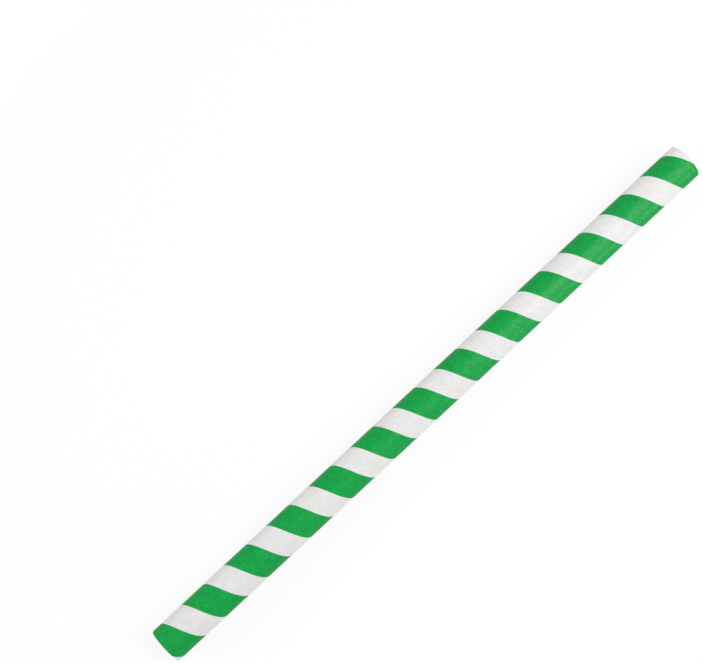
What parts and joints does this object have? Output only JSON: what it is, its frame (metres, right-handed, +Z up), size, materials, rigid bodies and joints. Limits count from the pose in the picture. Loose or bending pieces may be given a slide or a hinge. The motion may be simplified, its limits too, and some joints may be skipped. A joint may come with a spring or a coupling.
{
  "type": "paper drinking straw",
  "caption": "Wide straight paper drinking straw, cut square at both ends, with a broad spiral stripe in green and white.",
  "frame": {"origin": "on the surface that the straw lies on, under the middle of its length", "axes": "+X along the straw, +Y across it, +Z up"},
  "size_m": [0.22, 0.012, 0.012],
  "materials": {
    "printed_paper": "smooth uncoated paper, white with a broad green stripe printed in a spiral outside, plain white inside"
  },
  "bodies": {
    "root": {"straw_tube": "printed_paper"}
  },
  "joints": []
}
